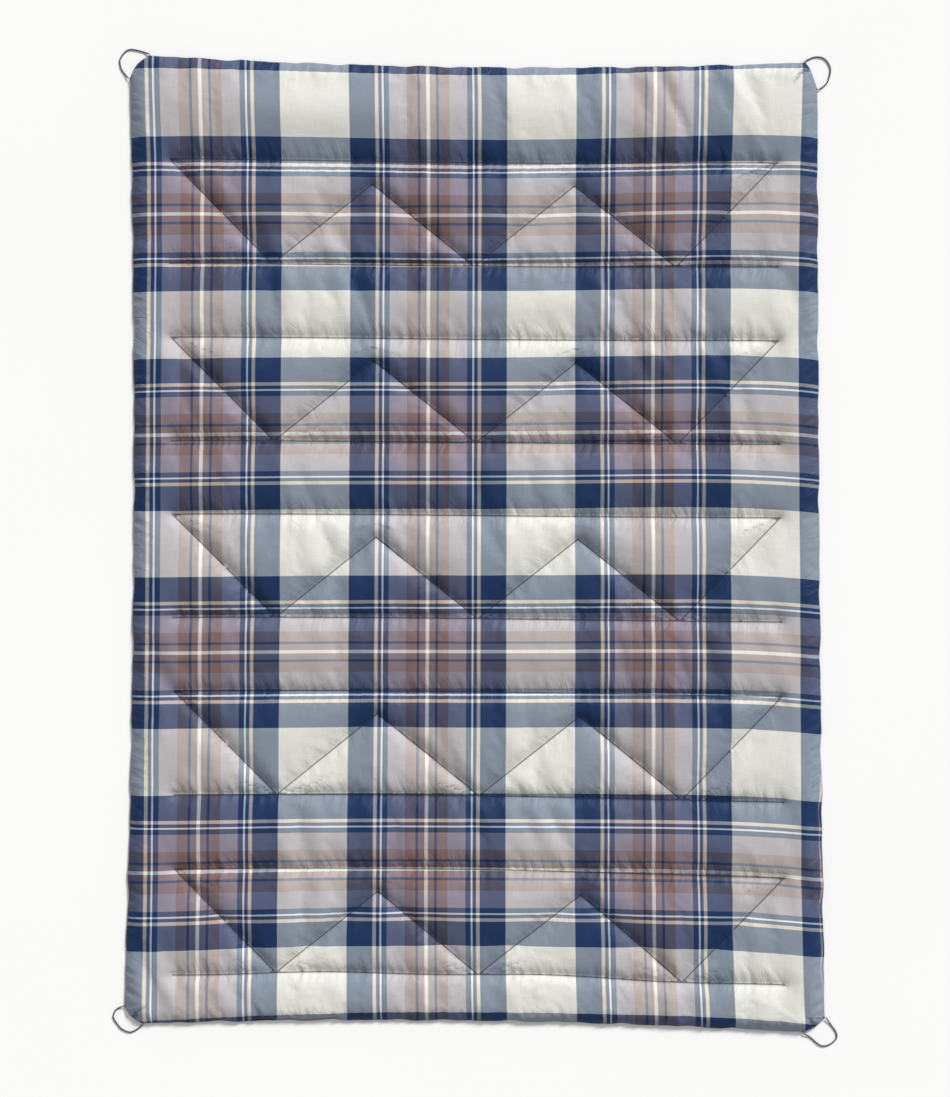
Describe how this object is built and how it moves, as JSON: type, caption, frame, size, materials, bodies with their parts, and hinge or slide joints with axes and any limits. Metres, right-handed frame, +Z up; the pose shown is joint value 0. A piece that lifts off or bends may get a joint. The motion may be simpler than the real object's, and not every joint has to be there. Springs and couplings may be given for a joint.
{
  "type": "camp blanket",
  "caption": "Quilted plaid camp blanket with synthetic fill, lying flat, with an elastic cord loop at each rounded corner.",
  "frame": {"origin": "on the floor under the middle of the blanket as it lies flat, face up", "axes": "+Y along the long side towards the top edge, +X across it to the right, +Z up from the floor through the face"},
  "size_m": [1.3425, 1.8478, 0.022],
  "materials": {
    "printed_taffeta_face": "satin",
    "printed_taffeta_back": "satin",
    "polyester_batting": "matte",
    "quilting_thread": "satin",
    "seam_thread": "satin",
    "elastic_cord": "matte"
  },
  "bodies": {
    "blanket": {"face_fabric": "printed_taffeta_face", "insulation_batting": "polyester_batting", "back_fabric": "printed_taffeta_back", "row_01_needle_thread": "quilting_thread", "row_01_bobbin_thread": "quilting_thread", "row_02_needle_thread": "quilting_thread", "row_02_bobbin_thread": "quilting_thread", "row_03_needle_thread": "quilting_thread", "row_03_bobbin_thread": "quilting_thread", "row_04_needle_thread": "quilting_thread", "row_04_bobbin_thread": "quilting_thread", "row_05_needle_thread": "quilting_thread", "row_05_bobbin_thread": "quilting_thread", "row_06_needle_thread": "quilting_thread", "row_06_bobbin_thread": "quilting_thread", "row_07_needle_thread": "quilting_thread", "row_07_bobbin_thread": "quilting_thread", "row_08_needle_thread": "quilting_thread", "row_08_bobbin_thread": "quilting_thread", "row_09_needle_thread": "quilting_thread", "row_09_bobbin_thread": "quilting_thread", "row_10_needle_thread": "quilting_thread", "row_10_bobbin_thread": "quilting_thread", "zigzag_1_needle_thread": "quilting_thread", "zigzag_1_bobbin_thread": "quilting_thread", "zigzag_2_needle_thread": "quilting_thread", "zigzag_2_bobbin_thread": "quilting_thread", "zigzag_3_needle_thread": "quilting_thread", "zigzag_3_bobbin_thread": "quilting_thread", "zigzag_4_needle_thread": "quilting_thread", "zigzag_4_bobbin_thread": "quilting_thread", "zigzag_5_needle_thread": "quilting_thread", "zigzag_5_bobbin_thread": "quilting_thread", "edge_seam_thread": "seam_thread", "loop_tack_top_left_end": "seam_thread", "loop_tack_top_left_side": "seam_thread", "loop_tack_top_right_end": "seam_thread", "loop_tack_top_right_side": "seam_thread", "loop_tack_bottom_right_end": "seam_thread", "loop_tack_bottom_right_side": "seam_thread", "loop_tack_bottom_left_end": "seam_thread", "loop_tack_bottom_left_side": "seam_thread"},
    "top_left_loop": {"corner_loop_top_left": "elastic_cord"},
    "top_right_loop": {"corner_loop_top_right": "elastic_cord"},
    "bottom_right_loop": {"corner_loop_bottom_right": "elastic_cord"},
    "bottom_left_loop": {"corner_loop_bottom_left": "elastic_cord"}
  },
  "joints": [
    {"name": "top_left_loop_turn", "type": "hinge", "parent": "blanket", "child": "top_left_loop", "pos_m": [-0.6189, 0.88145, 0.0045], "axis": [0.6519, 0.7583, 0], "range_deg": [0, 100]},
    {"name": "top_right_loop_turn", "type": "hinge", "parent": "blanket", "child": "top_right_loop", "pos_m": [0.6243, 0.86495, 0.0045], "axis": [0.4507, -0.8927, 0], "range_deg": [0, 100]},
    {"name": "bottom_right_loop_turn", "type": "hinge", "parent": "blanket", "child": "bottom_right_loop", "pos_m": [0.62965, -0.89245, 0.0045], "axis": [-0.8177, -0.5757, 0], "range_deg": [0, 100]},
    {"name": "bottom_left_loop_turn", "type": "hinge", "parent": "blanket", "child": "bottom_left_loop", "pos_m": [-0.6304, -0.8739, 0.0045], "axis": [-0.727, 0.6866, 0], "range_deg": [0, 100]}
  ]
}
